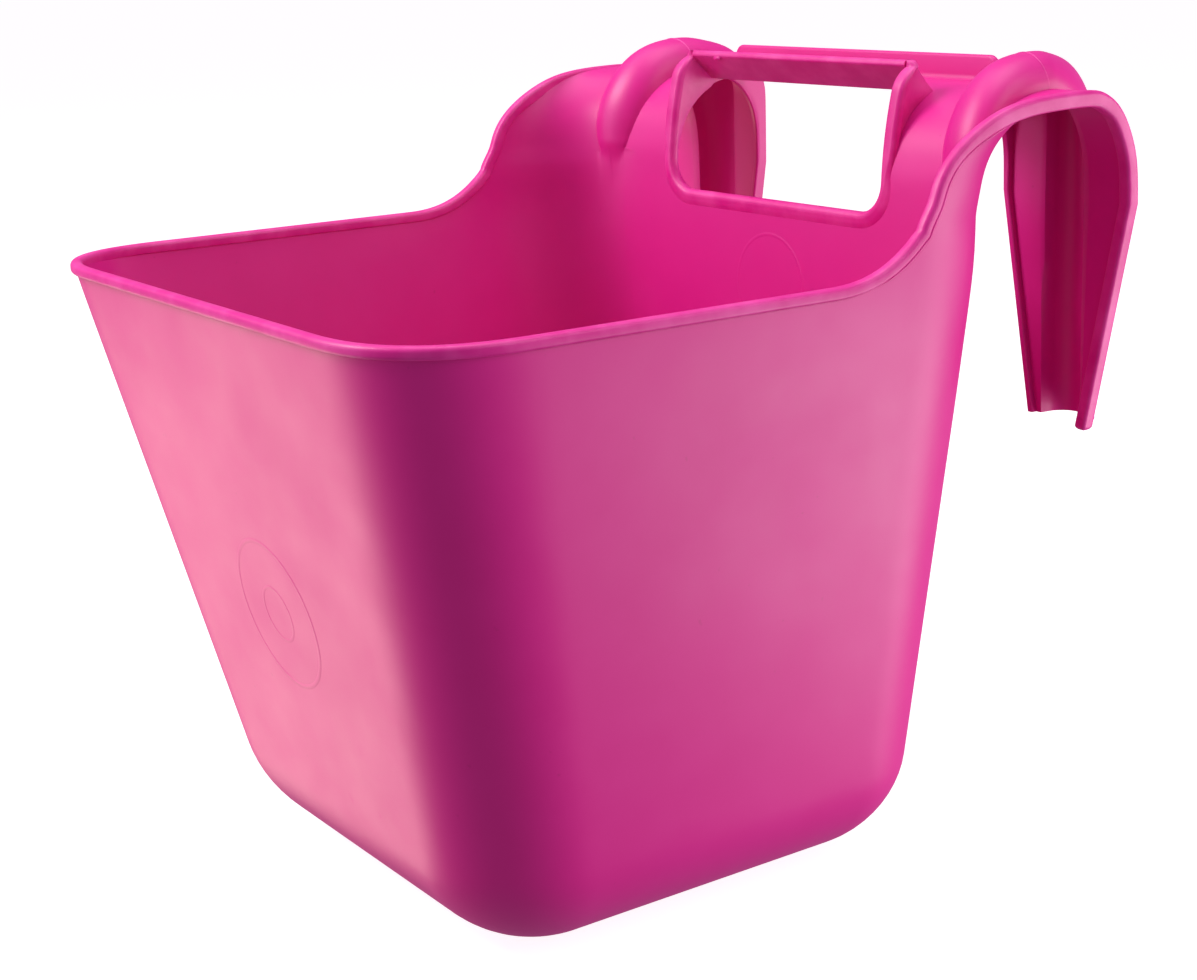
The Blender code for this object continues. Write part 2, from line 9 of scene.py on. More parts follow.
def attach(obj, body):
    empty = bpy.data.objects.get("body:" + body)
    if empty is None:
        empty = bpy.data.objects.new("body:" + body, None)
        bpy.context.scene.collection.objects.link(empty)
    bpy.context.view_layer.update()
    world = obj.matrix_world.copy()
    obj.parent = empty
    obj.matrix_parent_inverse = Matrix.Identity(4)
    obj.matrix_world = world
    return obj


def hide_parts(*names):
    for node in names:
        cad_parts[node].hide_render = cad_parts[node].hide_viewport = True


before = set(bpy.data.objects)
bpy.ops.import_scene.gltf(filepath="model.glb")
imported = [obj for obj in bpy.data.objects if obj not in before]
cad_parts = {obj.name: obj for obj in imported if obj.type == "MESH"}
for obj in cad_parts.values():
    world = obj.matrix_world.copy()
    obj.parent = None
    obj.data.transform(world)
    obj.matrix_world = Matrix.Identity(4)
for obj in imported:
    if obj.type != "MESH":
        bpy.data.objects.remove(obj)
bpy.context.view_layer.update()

# The bucket's own lines, in millimetres.  The real thing is one moulding, so the
# walls and the saddles are one skin here, and the hooks meet it at the arch top.
MM = 0.001
WALL = 3.0
RIM_Z = 252.0
BASE_HALF = 107.6
RIM_HALF = 150.6
FRONT_Y = (-108.0, -162.5)
BACK_Y = (108.0, 112.0)
FRONT_R = (45.0, 56.0)
BACK_R = (45.0, 55.2)
FRONT_POWER = 2.5
BACK_POWER = 2.3
FILLET = 43.0
SIDE_BEND = 12.0        # how softly the leaning sides turn upright at the rim
RISE_FRONT = 15.4       # where the side rims leave the level and start to climb
SHOULDER_Z = 268.5      # where the back starts to lean over the rail
BAR_Z = 312.0           # top of the sheet and of the flat bar between the hooks
RIB_X = 114.0
RIB_R = 14.0
KNEE_Z = 267.5
TIP_Z = 176.0
HOOK_EDGE = 80.5
TIP_EDGE = 97.0
TIP_IN = 19.5
RIM_LIP_DEPTH = 3.9     # the lip's height along the level rim
SIDE_LIP_DEPTH = 5.6    # and where it climbs over the rail
GRIP_HALF = 69.5
GRIP_LOW = 262.0
GRIP_R = 13.0
GRIP_FACE = 108.2       # front of the opening's lip at its lower edge
GRIP_TURN_Z = 311.0     # where the sides of the lip start to round back
GRIP_ROUND = 10.0
GRIP_TOP = 322.4        # upper end of the side plates
GRIP_CUT = 2.4          # how far the walls are cut back behind the lip
PLATE_Z = 309.5         # where the side plates' rear leaves the saddle
ARCH_TOP = 10           # station of the seam between tub and hooks
SEAM_STEP = 6           # rows between two stations
TIP_ROWS = 14           # rows along the straight leg

EDGE_LINE = [(56.4, 268.5), (61.0, 276.5), (63.6, 282.5), (66.8, 288.5),
             (72.0, 294.3), (79.0, 299.6), (87.5, 304.3), (97.5, 308.2),
             (110.5, 310.8), (127.0, 311.9), (141.5, 312.0), (149.0, 310.7),
             (155.6, 306.8), (161.2, 300.2), (165.6, 291.2), (168.1, 281.0),
             (169.0, KNEE_Z)]
MIDDLE_LINE = [(109.3, 268.5), (109.6, 276.5), (110.6, 282.5), (112.4, 288.5),
               (115.2, 294.3), (119.2, 299.6), (124.4, 304.3), (130.8, 308.2),
               (138.0, 310.7), (145.5, 311.9), (152.0, 312.0), (158.5, 312.0),
               (165.0, 311.4), (169.8, 308.6), (172.4, 303.0), (173.0, 292.0),
               (173.0, KNEE_Z)]
RIB_LINE = [(105.0, 268.5), (104.8, 276.5), (104.8, 283.5), (105.4, 291.5),
            (107.4, 298.9), (111.0, 306.2), (116.2, 313.2), (123.4, 319.4),
            (132.4, 323.6), (142.0, 325.4), (150.5, 325.7), (159.5, 324.6),
            (168.6, 320.6), (176.8, 313.8), (183.0, 304.2), (186.4, 291.2),
            (187.0, KNEE_Z)]
FLANGE_LINE = [(152.5, 307.0), (157.3, 304.0), (161.2, 299.6), (164.6, 294.0),
               (166.6, 287.5), (167.5, 279.0), (167.5, KNEE_Z)]
KNEE = len(EDGE_LINE) - 1


# ------------------------------------------------------------------ curves
def lerp(a, b, s):
    return a + (b - a) * s


def ease(s):
    s = min(1.0, max(0.0, s))
    return s * s * (3.0 - 2.0 * s)


def steps(a, b, n):
    return [lerp(a, b, i / n) for i in range(n + 1)]


class Line:
    """Curve with continuous curvature through stations one unit of t apart."""

    def __init__(self, stations, before, after):
        pts = np.array([before] + list(stations) + [after], float)
        n = len(pts)
        a = np.zeros((n, n))
        b = np.zeros((n, 2))
        a[0, 0] = a[-1, -1] = 1.0
        for i in range(1, n - 1):
            a[i, i - 1:i + 2] = (1.0, 4.0, 1.0)
            b[i] = 6.0 * (pts[i + 1] - 2.0 * pts[i] + pts[i - 1])
        self.pts = pts
        self.bend = np.linalg.solve(a, b)
        self.last = len(stations) - 1

    def at(self, t):
        if t >= self.last:
            y, z = self.pts[self.last + 1]
            return y, lerp(z, TIP_Z, t - self.last)
        u = max(t, -0.99) + 1.0
        k = min(int(u), len(self.pts) - 2)
        s = u - k
        p0, p1 = self.pts[k], self.pts[k + 1]
        m0, m1 = self.bend[k], self.bend[k + 1]
        r = 1.0 - s
        q = p0 * r + p1 * s + ((r ** 3 - r) * m0 + (s ** 3 - s) * m1) / 6.0
        return q[0], q[1]


EDGE = Line(EDGE_LINE, (56.7, 260.5), (169.0, 255.0))
MIDDLE = Line(MIDDLE_LINE, (109.2, 260.5), (173.0, 248.0))
RIB = Line(RIB_LINE, (105.2, 260.5), (187.0, 246.0))
FLANGE = Line(FLANGE_LINE, (147.0, 309.0), (167.5, 256.0))


def half_width(z):
    """The sides lean out up to the rim and stand upright above it."""
    q = RIM_Z - z
    slope = (RIM_HALF - BASE_HALF) / RIM_Z
    return RIM_HALF - slope * 0.5 * (q + math.sqrt(q * q + SIDE_BEND ** 2))


def section(z):
    """At height z: half width, front and back of the tub, front and back corner radius."""
    s = z / RIM_Z
    return (half_width(z), lerp(FRONT_Y[0], FRONT_Y[1], s), lerp(BACK_Y[0], BACK_Y[1], s),
            lerp(FRONT_R[0], FRONT_R[1], s), lerp(BACK_R[0], BACK_R[1], s))


def round_corner(degrees, z, rim_power):
    """Unit corner: a circle at the floor, a little squarer towards the rim."""
    power = 2.0 / lerp(2.0, rim_power, min(1.0, z / RIM_Z))
    t = math.radians(abs(degrees))
    c = max(math.cos(t), 0.0) ** power
    s = max(math.sin(t), 0.0) ** power
    return c, math.copysign(s, degrees)


def plan(column, z, inset):
    """A point of the tub's outline at height z, moved in by inset."""
    kind, v = column
    a, yf, yb, rf, rb = section(z)
    if kind == "front":
        return (v * (a - rf), yf + inset, z)
    if kind == "front_corner":
        r = max(rf - inset, 2.0)
        c, t = round_corner(v, z, FRONT_POWER)
        return (a - rf + r * c, yf + rf + r * t, z)
    if kind == "side":
        return (a - inset, lerp(yf + rf, yb - rb, v), z)
    if kind == "back_corner":
        r = max(rb - inset, 2.0)
        c, t = round_corner(v, z, BACK_POWER)
        return (a - rb + r * c, yb - rb + r * t, z)
    return ((1.0 - v) * (a - rb), yb - inset, z)


def outward(column):
    """Level direction straight out of the rim."""
    kind, v = column
    if kind == "front":
        return (0.0, -1.0)
    if kind in ("front_corner", "back_corner"):
        power = FRONT_POWER if kind == "front_corner" else BACK_POWER
        c, t = round_corner(v, RIM_Z, power)
        nx, ny = c ** (power - 1.0), math.copysign(abs(t) ** (power - 1.0), t)
        size = math.hypot(nx, ny)
        return (nx / size, ny / size)
    if kind == "side":
        return (1.0, 0.0)
    return (0.0, 1.0)


def rim_height(y):
    """Level rim, rising in a curve to the shoulder at the back of each side."""
    u = (y - RISE_FRONT) / (EDGE_LINE[0][0] - RISE_FRONT)
    if u <= 0.0:
        return RIM_Z
    u = min(u, 1.0)
    return RIM_Z + (SHOULDER_Z - RIM_Z) * 0.5 * (u * u + u ** 3)


# --------------------------------------------- the sheet that goes over the rail
SHEET_R = section(SHOULDER_Z)[4] - WALL


def arc_centre(t):
    """Where the sheet's round corner starts, across the bucket."""
    return half_width(min(max(EDGE.at(t)[1], SHOULDER_Z), BAR_Z)) - WALL - SHEET_R


def sheet_point(x, t):
    """Point of the sheet over the rail: x across, t along, between the edge and middle lines."""
    ey, ez = EDGE.at(t)
    my, mz = MIDDLE.at(t)
    u = (abs(x) - arc_centre(t)) / SHEET_R
    near = max(0.0, 1.0 - u ** BACK_POWER) ** (1.0 / BACK_POWER) if u > 0.0 else 1.0
    far = ease((RIB_X + RIB_R - abs(x)) / (2.0 * RIB_R))
    s = lerp(near, far, ease((t - 9.0) / 2.0))
    return np.array((x, lerp(ey, my, s), lerp(ez, mz, s)))


def edge_half(t):
    """Half width of the sheet, which tapers along the leg."""
    return RIM_HALF - WALL - TIP_IN * max(0.0, t - KNEE)


def rib_at(t):
    """Crest height above the sheet, its direction, and the half angle it spans."""
    base = sheet_point(RIB_X, t)
    ry, rz = RIB.at(t)
    d = np.array((0.0, ry - base[1], rz - base[2]))
    full = float(np.linalg.norm(d))
    height = full * ease((t + 0.35) / 2.0)
    height = min(height, RIB_R - 0.2)
    return height, d / max(full, 1e-6)


def rib_profile(s, height):
    """Across the rib, s from 1 (outer foot) to -1 (inner foot): sideways shift and rise."""
    narrowest = 7.0
    foot = 0.86     # from here on the rise fades out into the sheet
    if height < 0.05:
        return narrowest * s, 0.0
    top = math.acos(max(-1.0, 1.0 - height / RIB_R))
    reach = max(RIB_R * math.sin(top), narrowest)
    dx = reach * math.sin(top * s) / math.sin(top)
    rise = height - (RIB_R - math.sqrt(max(0.0, RIB_R ** 2 - min(abs(dx), RIB_R) ** 2)))
    soft = 1.1 if s > 0 else 0.55
    rise = 0.5 * (rise + math.sqrt(rise * rise + soft * soft))
    edge = max(0.0, 1.0 - ((abs(s) - foot) / 0.14) ** 2) if abs(s) > foot else 1.0
    return dx, rise * edge


# points across the sheet: outside the rib, over it, and inside it
N_OUT = 24
N_RIB = 30
N_IN = 12


def sheet_row(t, inner_x):
    """Points across the sheet at t, from its outer edge over the rib to inner_x."""
    height, unit = rib_at(t)
    reach = rib_profile(1.0, height)[0]
    edge = edge_half(t)
    xc = arc_centre(t)
    row = []
    full = math.acos(min(1.0, max(-1.0, (RIB_X + reach - xc) / SHEET_R)))
    lin = ease((t - 8.0) / 3.0)
    for i in range(N_OUT):
        s = i / N_OUT
        x_arc = xc + SHEET_R * math.cos(full * s)
        x_lin = lerp(edge, RIB_X + reach, s)
        x = lerp(min(x_arc, edge), x_lin, lin)
        row.append(sheet_point(x, t))
    for s in steps(1.0, -1.0, N_RIB):
        dx, rise = rib_profile(s, height)
        row.append(sheet_point(RIB_X + dx, t) + unit * rise)
    for s in steps(0.0, 1.0, N_IN)[1:]:
        row.append(sheet_point(lerp(RIB_X - reach, inner_x, s), t))
    return np.array(row)


def push(grid, distance):
    """Second face of a sheet, along the surface normal."""
    g = np.array(grid, float)
    n = np.cross(np.gradient(g, axis=1), np.gradient(g, axis=0))
    n /= np.linalg.norm(n, axis=2, keepdims=True) + 1e-12
    return g + n * distance


# ------------------------------------------------------------- mesh builders
SKIN_SHARP = 35.0       # degrees between faces from which an edge is sharp
JOIN = 0.000012         # metres: points nearer than this are one point


def to_object(name, bm, sharp_angle):
    """Turn the bmesh into a smooth-shaded object in the scene."""
    mesh = bpy.data.meshes.new(name)
    bm.to_mesh(mesh)
    bm.free()
    mesh.shade_smooth()
    mesh.set_sharp_from_angle(angle=math.radians(sharp_angle))
    ob = bpy.data.objects.new(name, mesh)
    bpy.context.scene.collection.objects.link(ob)
    return ob


class Skin:
    """Collects quads; points that fall together are joined afterwards."""

    def __init__(self):
        self.bm = bmesh.new()

    def grid(self, g, flip=False):
        rows = [[self.bm.verts.new(Vector(p) * MM) for p in line] for line in g]
        for a, b in zip(rows[:-1], rows[1:]):
            for j in range(len(a) - 1):
                quad = (a[j], b[j], b[j + 1], a[j + 1])
                if len({tuple(v.co) for v in quad}) < 3:
                    continue
                self.bm.faces.new(quad[::-1] if flip else quad)

    def both_sides(self, g):
        """The grid and its mirror image."""
        self.grid(g)
        m = np.array(g, float)
        m[..., 0] *= -1.0
        self.grid(m, flip=True)

    def cap(self, points):
        """One flat face through the points, and its mirror image."""
        for sign in (1.0, -1.0):
            ring = [self.bm.verts.new(Vector((p[0] * sign, p[1], p[2])) * MM) for p in points]
            self.bm.faces.new(ring)

    def finish(self, name):
        bm = self.bm
        bmesh.ops.remove_doubles(bm, verts=bm.verts, dist=JOIN)
        bmesh.ops.dissolve_degenerate(bm, dist=1e-7, edges=bm.edges)
        bmesh.ops.recalc_face_normals(bm, faces=bm.faces)
        return to_object(name, bm, SKIN_SHARP)


def tube(name, loops, closed=False, angle=40.0):
    """Solid through a run of loops, with flat ends unless it closes on itself."""
    bm = bmesh.new()
    rings = [[bm.verts.new(Vector(p) * MM) for p in loop] for loop in loops]
    pairs = list(zip(rings[:-1], rings[1:]))
    if closed:
        pairs.append((rings[-1], rings[0]))
    n = len(rings[0])
    for a, b in pairs:
        for i in range(n):
            bm.faces.new((a[i], a[(i + 1) % n], b[(i + 1) % n], b[i]))
    if not closed:
        bm.faces.new(rings[0])
        bm.faces.new(rings[-1])
    bmesh.ops.recalc_face_normals(bm, faces=bm.faces)
    if bm.calc_volume(signed=True) < 0.0:
        bmesh.ops.reverse_faces(bm, faces=bm.faces)
    return to_object(name, bm, angle)


def small_ring(centre, first, second, n):
    """Ellipse of n points round centre, spanned by two half axes."""
    ring = []
    for k in range(n):
        a = 2 * math.pi * k / n
        ring.append(centre + first * math.cos(a) + second * math.sin(a))
    return ring


def rounded(points, radii, n=4):
    """Closed outline of straight runs with its corners rounded."""
    out = []
    count = len(points)
    for i in range(count):
        p = np.array(points[i], float)
        a = np.array(points[i - 1], float) - p
        b = np.array(points[(i + 1) % count], float) - p
        la, lb = np.linalg.norm(a), np.linalg.norm(b)
        a, b = a / la, b / lb
        r = radii[i]
        if r <= 0.0:
            out.append(tuple(p))
            continue
        half = math.acos(max(-1.0, min(1.0, float(np.dot(a, b))))) / 2.0
        d = min(r / math.tan(half), 0.49 * la, 0.49 * lb)
        r = d * math.tan(half)
        c = p + (a + b) / np.linalg.norm(a + b) * (r / math.sin(half))
        u = p + a * d - c
        w = p + b * d - c
        ang = math.acos(max(-1.0, min(1.0, float(np.dot(u, w)) / (r * r))))
        for k in range(n + 1):
            s = k / n
            q = (math.sin((1 - s) * ang) * u + math.sin(s * ang) * w) / math.sin(ang)
            out.append(tuple(c + q))
    return out


# ----------------------------------------------------------------- the skin
JOIN_Z = 230.0          # the walls' even rows end here


def front_columns():
    """Columns round one half of the tub, from the middle of the front to the back corner."""
    cols = [("front", v) for v in steps(0.0, 1.0, 10)]
    cols += [("front_corner", v) for v in steps(-90.0, 0.0, 26)[1:]]
    cols += [("side", v) for v in steps(0.0, 1.0, 34)[1:]]
    return cols


def back_columns():
    """Columns round the back, lined up with the sheet's first row."""
    row = sheet_row(0.0, 0.0)
    half, rb = section(SHOULDER_Z)[0], section(SHOULDER_Z)[4]
    xc = half - rb
    cols = []
    for p in row:
        u = (p[0] - xc) / (rb - WALL)
        if u > 0.0:
            angle = math.acos(min(1.0, u) ** (BACK_POWER / 2.0))
            cols.append(("back_corner", math.degrees(angle)))
        else:
            cols.append(("back", 1.0 - p[0] / xc))
    cols[0] = ("back_corner", 0.0)
    return cols


def base_rows(column, floor_z, radius, extra):
    """Up one column from the flat of the floor round the fillet."""
    line = []
    for deg in steps(90.0, 0.0, 16):
        t = math.radians(deg)
        z = floor_z + (FILLET - floor_z) * (1.0 - math.sin(t))
        line.append(plan(column, z, extra + radius * (1.0 - math.cos(t))))
    return line


def floor_columns(columns, floor_z, radius, extra):
    """The base fillet's columns, each continued inwards to the middle of the floor."""
    lines = []
    for c in columns:
        line = base_rows(c, floor_z, radius, extra)
        x, y, z = line[0]
        inner = [(x * s, y * s, z) for s in (0.0, 0.25, 0.5, 0.75)]
        lines.append(inner + line)
    return lines


def wall_rows():
    return [FILLET + (JOIN_Z - FILLET) * s for s in steps(0.0, 1.0, 24)]


def column_top(column):
    """Height of the wall's upper edge at a column."""
    if column[0] == "side":
        return rim_height(plan(column, RIM_Z + 6.0, 0.0)[1])
    return RIM_Z


def add_tub(skin, fronts, backs):
    """Front, front corners, sides and floor: both faces and the upper edge between them."""
    for inset in (0.0, WALL):
        lines = []
        for c in fronts:
            zs = wall_rows()
            zs += [lerp(JOIN_Z, column_top(c), s) for s in steps(0.0, 1.0, 6)[1:]]
            lines.append([plan(c, z, inset) for z in zs])
        skin.both_sides(lines)
    skin.both_sides([[plan(c, column_top(c), inset) for c in fronts] for inset in (0.0, WALL)])
    round_all = fronts + backs[1:]
    skin.both_sides(floor_columns(round_all, 0.0, FILLET, 0.0))
    skin.both_sides(floor_columns(round_all, WALL, FILLET - WALL, WALL))


def back_grids(backs):
    """Inner and outer face of the back wall and saddle, and the number of wall rows."""
    low = wall_rows() + [lerp(JOIN_Z, SHOULDER_Z, s) for s in steps(0.0, 1.0, 6)[1:-1]]
    rows = [[plan(c, z, WALL) for c in backs] for z in low]
    # two rows more than are kept, so that the last normals are true
    ts = [0.0] + [k / SEAM_STEP for k in range(1, SEAM_STEP * ARCH_TOP + 1)]
    ts += [ARCH_TOP + k / SEAM_STEP for k in (1.0, 2.0)]
    rows += [sheet_row(t, 0.0) for t in ts]
    front = np.array(rows)
    pushed = push(front, WALL)
    back = pushed.copy()
    for i, z in enumerate(low):
        w = ease((z - 195.0) / 30.0)
        wall = np.array([plan(c, z, 0.0) for c in backs])
        back[i] = lerp(wall, pushed[i], w)
        back[i][0] = wall[0]
    back[len(low)][0] = plan(backs[0], SHOULDER_Z, 0.0)
    return front[:-2], back[:-2], len(low)


def leg_edge(t):
    """Inner edge of the leg, which narrows towards the tip."""
    return lerp(HOOK_EDGE, TIP_EDGE, max(0.0, t - KNEE))


def hook_grids():
    """Stations, outer face and inner face of the arch and leg."""
    ts = [ARCH_TOP - 2.0 / SEAM_STEP, ARCH_TOP - 1.0 / SEAM_STEP, float(ARCH_TOP)]
    ts += [ARCH_TOP + k / SEAM_STEP for k in range(1, SEAM_STEP * (KNEE - ARCH_TOP) + 1)]
    ts += [KNEE + k / TIP_ROWS for k in range(1, TIP_ROWS + 1)]
    front = np.array([sheet_row(t, leg_edge(t)) for t in ts])
    back = push(front, WALL)
    for row, t in zip(back, ts):
        x_in = leg_edge(t) + WALL
        start = row[-N_IN - 1][0]
        for j in range(1, N_IN + 1):
            row[j - N_IN - 1] = (lerp(start, x_in, j / N_IN), row[-1][1], row[-1][2])
    return ts[2:], front[2:], back[2:]


FLANGE_SOFT = 0.9       # rounding of the flange's free edge


def quarter(centre, down, angles, side):
    """Quarter round of the flange's free edge, on its left (-1) or right (1) side."""
    arc = []
    for deg in angles:
        d = math.radians(deg)
        arc.append(centre + np.array((side * math.cos(d) * FLANGE_SOFT, 0, 0))
                   + down * math.sin(d) * FLANGE_SOFT)
    return arc


def add_hook(skin, ts, front, back):
    """Arch and leg beyond the seam: sheet, inner flange, tip."""
    skin.both_sides(front)
    skin.both_sides(back)
    outer, end, inner = [], [], []
    for t, row, under in zip(ts, front, back):
        x_in = leg_edge(t)
        y, z = FLANGE.at(t - ARCH_TOP)
        if t > KNEE:
            z = row[-1][2]
        p = row[-1]
        q = np.array((x_in, y, z))
        r = np.array((x_in + WALL, y, z))
        down = (q - p) / max(np.linalg.norm(q - p), 1e-6)
        outer.append([lerp(p, q - down * FLANGE_SOFT, k) for k in (0.0, 0.35, 0.7, 1.0)])
        left = q + np.array((FLANGE_SOFT, 0, 0)) - down * FLANGE_SOFT
        right = r - np.array((FLANGE_SOFT, 0, 0)) - down * FLANGE_SOFT
        end.append(quarter(left, down, (0.0, 30.0, 60.0, 90.0), -1.0)
                   + quarter(right, down, (90.0, 60.0, 30.0, 0.0), 1.0))
        inner.append([lerp(end[-1][-1], under[-1], k) for k in (0.0, 0.5, 1.0)])
    skin.both_sides(outer)
    skin.both_sides(end)
    skin.both_sides(inner)
    # the tip, and the flange's two ends
    skin.both_sides([front[-1], back[-1]])
    for k in (0, -1):
        skin.cap(outer[k] + end[k][1:] + inner[k][1:])
    # free outer edge, which the lip covers
    skin.both_sides([[f[0] for f in front], [b[0] for b in back]])


def build_bucket():
    """The moulding itself in two skins, the tub with its saddles and the hooks."""
    tub_skin = Skin()
    backs = back_columns()
    add_tub(tub_skin, front_columns(), backs)
    front, back, n_low = back_grids(backs)
    tub_skin.both_sides(front)
    tub_skin.both_sides(back)
    tub_skin.both_sides([front[n_low:, 0], back[n_low:, 0]])
    # close the skin at the seam
    tub_skin.both_sides([front[-1], back[-1]])
    body = tub_skin.finish("bucket_tub")

    leg_skin = Skin()
    ts, hook_front, hook_back = hook_grids()
    add_hook(leg_skin, ts, hook_front, hook_back)
    leg_skin.both_sides([hook_front[0], hook_back[0]])
    return body, leg_skin.finish("hook_legs")


def grip_cutter():
    """Block the shape of the opening, a little larger, open at the top."""
    h, r = GRIP_HALF + GRIP_CUT, GRIP_R + GRIP_CUT
    low = GRIP_LOW - GRIP_CUT
    above, near, far = 340.0, 90.0, 190.0
    outline = []
    for deg in steps(-90.0, 0.0, 16):
        t = math.radians(deg)
        outline.append((h - r + r * math.cos(t), low + r + r * math.sin(t)))
    outline += [(h, above), (-h, above)]
    for deg in steps(180.0, 270.0, 16):
        t = math.radians(deg)
        outline.append((-h + r + r * math.cos(t), low + r + r * math.sin(t)))
    loops = [[(p[0], y, p[1]) for p in outline] for y in (near, far)]
    return tube("grip_cutter", loops)


def carve(ob, tool):
    """Cut the tool's shape out of the object, and remove the tool."""
    mod = ob.modifiers.new("opening", "BOOLEAN")
    mod.operation = "DIFFERENCE"
    mod.solver = "EXACT"
    mod.object = tool
    dg = bpy.context.evaluated_depsgraph_get()
    mesh = bpy.data.meshes.new_from_object(ob.evaluated_get(dg))
    ob.modifiers.clear()
    old = ob.data
    ob.data = mesh
    mesh.name = old.name
    bpy.data.meshes.remove(old)
    bpy.data.objects.remove(tool, do_unlink=True)
    mesh.shade_smooth()
    mesh.set_sharp_from_angle(angle=math.radians(SKIN_SHARP))


# ------------------------------------------------------------------- the lip
def bead_outline(depth):
    """Section of the lip: (outwards, inwards from the edge)."""
    over = 1.25
    inside = -(WALL + 0.9)
    top = -0.7
    pts = [(inside, depth), (inside, top), (over, top), (over, depth)]
    return rounded(pts, (0.6, 1.9, 1.9, 1.5), 6)


def bead_depth(t):
    """The lip grows deeper as it climbs over the rail."""
    return lerp(RIM_LIP_DEPTH, SIDE_LIP_DEPTH, ease((t - 3.5) / 4.0))


def lip_path():
    """(centre, across, inward, depth) from the front's middle to the right hook's tip."""
    level = [("front", v) for v in steps(0.0, 1.0, 14)]
    level += [("front_corner", v) for v in steps(-90.0, 0.0, 44)[1:]]
    level += [("side", v) for v in steps(0.0, 0.74, 22)[1:]]
    down = np.array((0, 0, -1.0))
    path = []
    for c in level:
        n = outward(c)
        path.append((np.array(plan(c, RIM_Z, 0.0)), np.array((n[0], n[1], 0.0)), down, RIM_LIP_DEPTH))
    line = []
    y0 = path[-1][0][1]
    for y in steps(y0, EDGE_LINE[0][0], 26)[1:-1]:
        z = rim_height(y)
        line.append((half_width(z), y, z, 0.0))
    ts = [k / 7.0 for k in range(0, 7 * KNEE + 1)]
    ts += [KNEE + k / TIP_ROWS for k in range(1, TIP_ROWS + 1)]
    for t in ts:
        y, z = EDGE.at(t)
        line.append((edge_half(t) + WALL, y, z, t))
    line = [(path[-1][0][0], y0, RIM_Z, 0.0)] + line
    for i in range(1, len(line)):
        x, y, z, t = line[i]
        a = line[i - 1]
        b = line[min(i + 1, len(line) - 1)]
        ty, tz = b[1] - a[1], b[2] - a[2]
        size = math.hypot(ty, tz)
        ty, tz = ty / size, tz / size
        path.append((np.array((x, y, z)), np.array((1.0, 0, 0)), np.array((0, tz, -ty)), bead_depth(t)))
    return path


def lip_loops():
    """Sections of the lip from one hook's tip round the front to the other's."""
    right = []
    for c, across, inward, depth in lip_path():
        right.append([c + across * u + inward * d for u, d in bead_outline(depth)])
    end = right[-1]
    middle = sum(end) / len(end)
    for deg in (25.0, 50.0, 72.0):
        a = math.radians(deg)
        drop = np.array((0.0, 0.0, -2.2 * math.sin(a)))
        right.append([middle + (p - middle) * math.cos(a) + drop for p in end])
    left = [[p * np.array((-1.0, 1.0, 1.0)) for p in loop] for loop in right[1:]][::-1]
    return left + right


def build_lip():
    return tube("rim_lip_bead", lip_loops(), angle=50.0)


def build_flash(sign):
    """Thin witness line left by the mould, just under the lip on the climbing curve."""
    near, far, top = 34.0, 104.0, 309.5
    loops = []
    path = [s for s in lip_path() if near < s[0][1] < far and s[0][2] < top]
    n = len(path)
    for i, (c, across, inward, depth) in enumerate(path):
        fade = ease(min(1.0, i / 8.0, (n - 1 - i) / 12.0))
        r = 0.05 + 0.5 * fade
        p = c + inward * (depth + 0.1) + across * 0.4
        ring = small_ring(p, across * r, inward * r, 8)
        loops.append([q * np.array((sign, 1.0, 1.0)) for q in ring])
    side = "right" if sign > 0 else "left"
    return tube("mould_line_" + side, loops, angle=80.0)


# ------------------------------------------------------------- hand opening
def lip_front(z):
    """Front of the lip: it leans back with height, then rounds over into the top bar."""
    most, reached_at, power = 6.3, 51.0, 2.2
    lean = most * max(0.0, (z - GRIP_LOW) / reached_at) ** power
    over = min(max(z - GRIP_TURN_Z, 0.0), GRIP_ROUND)
    return GRIP_FACE + lean + GRIP_ROUND - math.sqrt(GRIP_ROUND ** 2 - over ** 2)


def grip_path():
    """Down one side of the opening, along the bottom and up: (x, z, outward x, outward z)."""
    h = GRIP_HALF - GRIP_R
    z0 = GRIP_LOW + GRIP_R
    right = [(x, GRIP_LOW, 0.0, -1.0) for x in steps(0.0, h, 8)[:-1]]
    for deg in steps(-90.0, 0.0, 20):
        c, s = math.cos(math.radians(deg)), math.sin(math.radians(deg))
        right.append((h + GRIP_R * c, z0 + GRIP_R * s, c, s))
    heights = steps(z0, GRIP_TURN_Z, 20)[1:]
    rise = 11.4
    heights += [GRIP_TURN_Z + rise * math.sin(math.radians(d)) for d in steps(0.0, 90.0, 14)[1:]]
    right += [(GRIP_HALF, z, 1.0, 0.0) for z in heights]
    left = [(-x, z, -nx, nz) for x, z, nx, nz in right[1:]]
    return left[::-1] + right


def rear_line():
    """(height, depth) along the rear face of the saddle, on its middle line."""
    line = []
    for k in range(-10, 160):
        t = k / 16.0
        y, z = MIDDLE.at(t)
        y2, z2 = MIDDLE.at(t + 0.01)
        ty, tz = y2 - y, z2 - z
        size = math.hypot(ty, tz)
        line.append((z - WALL * ty / size, y + WALL * tz / size))
    return line


REAR_LINE = rear_line()


def back_face_at(z):
    """Depth of the moulding's rear face at height z."""
    lowest, deepest = 112.2, 134.3
    if z <= REAR_LINE[0][0]:
        return lowest
    for (za, ya), (zb, yb) in zip(REAR_LINE[:-1], REAR_LINE[1:]):
        if za <= z <= zb and zb > za:
            return min(lerp(ya, yb, (z - za) / (zb - za)), deepest)
    return deepest


def grip_rear(z):
    """Rear of the side plates: level with the saddle's rear face, then sweeping up to the top bar."""
    if z <= PLATE_Z:
        return back_face_at(z) + 0.6
    at_top, at_plate, power = 126.4, 134.9, 1.8
    return lerp(at_top, at_plate, (1.0 - (z - PLATE_Z) / (GRIP_TOP - PLATE_Z)) ** power)


